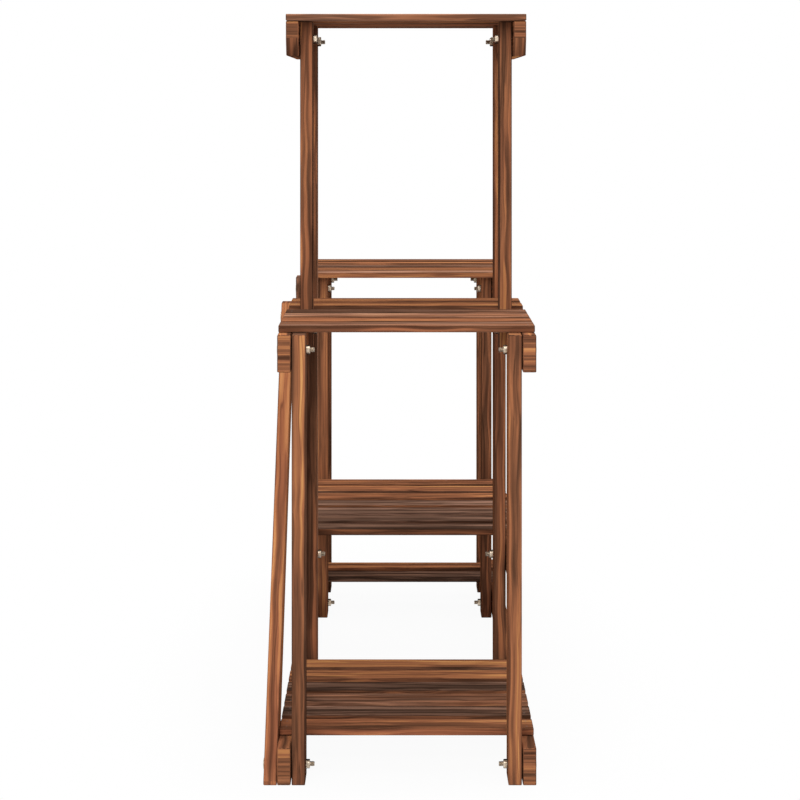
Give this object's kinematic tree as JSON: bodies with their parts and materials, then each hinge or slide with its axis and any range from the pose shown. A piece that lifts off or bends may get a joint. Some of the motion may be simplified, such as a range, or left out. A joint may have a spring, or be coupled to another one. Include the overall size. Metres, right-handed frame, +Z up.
{
  "type": "plant ladder stand",
  "caption": "Long narrow wooden stand with slatted shelves at several heights on two bolted side frames, for potted plants.",
  "frame": {"origin": "on the floor, under the centre of the stand's bounding box", "axes": "+X across the stand towards its unbraced side, +Y along its length from the end with the longer bench, +Z up"},
  "size_m": [0.2662, 0.869, 0.75],
  "materials": {
    "stained_wood": "brown stain, satin, with strong grain",
    "zinc_plated_steel": "yellowish zinc plating, semi-gloss"
  },
  "bodies": {
    "root": {"base_rail_left": "stained_wood", "base_rail_right": "stained_wood", "middle_shelf_rail_left": "stained_wood", "middle_shelf_rail_right": "stained_wood", "front_bench_rail_left": "stained_wood", "front_bench_rail_right": "stained_wood", "back_bench_rail_left": "stained_wood", "back_bench_rail_right": "stained_wood", "top_shelf_rail_left": "stained_wood", "top_shelf_rail_right": "stained_wood", "front_leg_left": "stained_wood", "front_leg_right": "stained_wood", "tower_front_leg_left": "stained_wood", "tower_front_leg_right": "stained_wood", "tower_back_leg_left": "stained_wood", "tower_back_leg_right": "stained_wood", "bench_inner_leg_left": "stained_wood", "bench_inner_leg_right": "stained_wood", "bench_outer_leg_left": "stained_wood", "bench_outer_leg_right": "stained_wood", "front_brace": "stained_wood", "back_brace": "stained_wood", "front_brace_lower_bolt": "zinc_plated_steel", "front_brace_upper_bolt": "zinc_plated_steel", "back_brace_lower_bolt": "zinc_plated_steel", "back_brace_upper_bolt": "zinc_plated_steel", "front_tray_slat_1": "stained_wood", "front_tray_slat_2": "stained_wood", "front_tray_slat_3": "stained_wood", "front_tray_slat_4": "stained_wood", "front_tray_slat_5": "stained_wood", "front_tray_slat_6": "stained_wood", "back_tray_slat_1": "stained_wood", "back_tray_slat_2": "stained_wood", "middle_shelf_slat_1": "stained_wood", "middle_shelf_slat_2": "stained_wood", "middle_shelf_slat_3": "stained_wood", "middle_shelf_slat_4": "stained_wood", "middle_shelf_slat_5": "stained_wood", "middle_shelf_slat_6": "stained_wood", "middle_shelf_slat_7": "stained_wood", "front_bench_slat_1": "stained_wood", "front_bench_slat_2": "stained_wood", "front_bench_slat_3": "stained_wood", "front_bench_slat_4": "stained_wood", "tower_foot_slat_1": "stained_wood", "tower_foot_slat_2": "stained_wood", "back_bench_slat_1": "stained_wood", "back_bench_slat_2": "stained_wood", "back_bench_slat_3": "stained_wood", "back_bench_slat_4": "stained_wood", "back_bench_slat_5": "stained_wood", "top_shelf_slat_1": "stained_wood", "top_shelf_slat_2": "stained_wood", "top_shelf_slat_3": "stained_wood", "top_shelf_slat_4": "stained_wood", "top_shelf_slat_5": "stained_wood", "top_shelf_slat_6": "stained_wood"}
  },
  "joints": []
}
